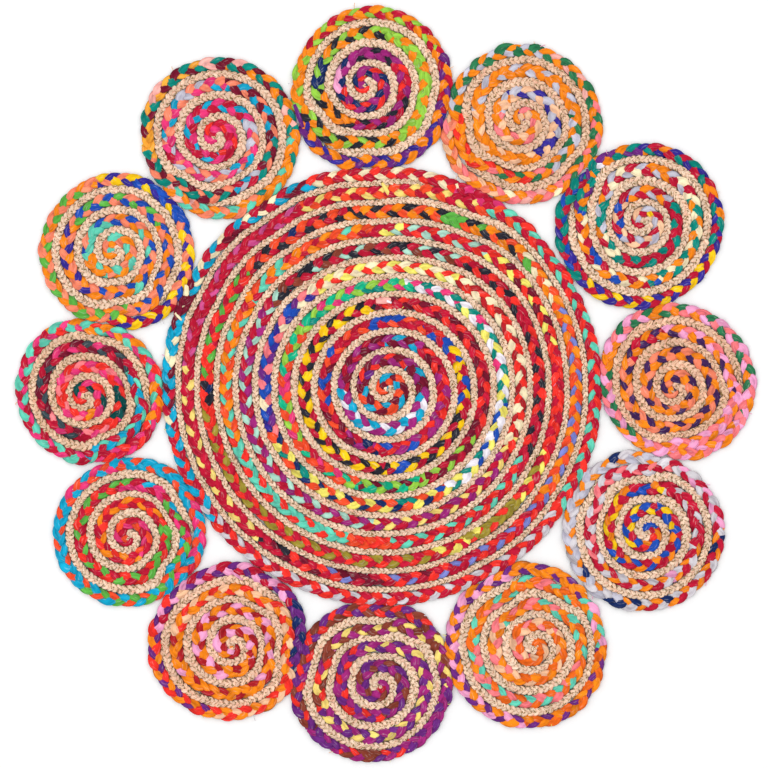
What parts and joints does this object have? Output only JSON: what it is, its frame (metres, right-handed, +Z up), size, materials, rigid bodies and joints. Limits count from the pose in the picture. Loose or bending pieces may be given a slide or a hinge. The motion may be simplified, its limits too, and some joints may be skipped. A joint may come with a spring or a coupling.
{
  "type": "braided rug",
  "caption": "Round flower-shaped floor rug: a large coiled disc ringed by smaller coiled discs sewn edge to edge, each wound from a jute plait and a multicolour cotton rag plait.",
  "frame": {"origin": "middle of the large centre disc, on its underside", "axes": "+Z up through the rug's thickness; +Y points towards the first small disc's side, about 2 degrees clockwise of its middle; +X is to the right seen from above"},
  "size_m": [1.1856, 1.2124, 0.008],
  "materials": {
    "cotton_plait": "matt plaited cotton rag in many colours",
    "jute_plait": "natural undyed jute, slightly glossy fibres",
    "sewing_thread": "matt cotton thread"
  },
  "bodies": {
    "root": {"disc_centre": "cotton_plait", "disc_petal_01": "cotton_plait", "disc_petal_02": "cotton_plait", "disc_petal_03": "cotton_plait", "disc_petal_04": "cotton_plait", "disc_petal_05": "cotton_plait", "disc_petal_06": "cotton_plait", "disc_petal_07": "cotton_plait", "disc_petal_08": "cotton_plait", "disc_petal_09": "cotton_plait", "disc_petal_10": "cotton_plait", "disc_petal_11": "cotton_plait", "disc_petal_12": "cotton_plait"}
  },
  "joints": []
}
